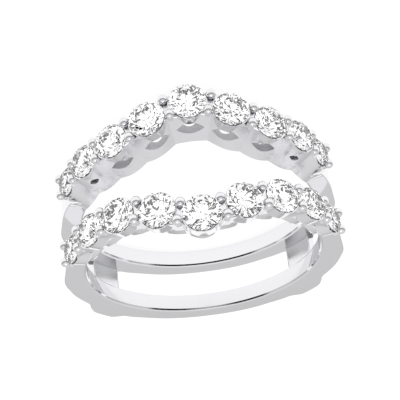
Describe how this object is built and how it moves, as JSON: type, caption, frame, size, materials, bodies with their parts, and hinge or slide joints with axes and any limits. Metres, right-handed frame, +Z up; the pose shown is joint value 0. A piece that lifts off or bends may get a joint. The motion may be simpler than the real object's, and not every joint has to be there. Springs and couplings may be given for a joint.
{
  "type": "ring guard enhancer",
  "caption": "Two-band ring guard with graduated round stones in shared prongs, bowed to hold another ring between the bands.",
  "frame": {"origin": "middle of the ring's box, on the surface that it rests on", "axes": "+Z up, -Y towards the stones, X across the ring; the finger hole's axis leans 8.0 degrees from +Z towards +Y"},
  "size_m": [0.0208, 0.023, 0.0112],
  "materials": {
    "white_gold": "rhodium-plated white gold, polished",
    "diamond": "colourless round brilliant, polished facets"
  },
  "bodies": {
    "root": {"guard_frame": "white_gold", "back_stone_1": "diamond", "back_stone_2": "diamond", "back_stone_3": "diamond", "back_stone_4": "diamond", "back_stone_5": "diamond", "back_stone_6": "diamond", "back_stone_7": "diamond", "back_stone_8": "diamond", "back_stone_9": "diamond", "front_stone_1": "diamond", "front_stone_2": "diamond", "front_stone_3": "diamond", "front_stone_4": "diamond", "front_stone_5": "diamond", "front_stone_6": "diamond", "front_stone_7": "diamond", "front_stone_8": "diamond", "front_stone_9": "diamond"}
  },
  "joints": []
}
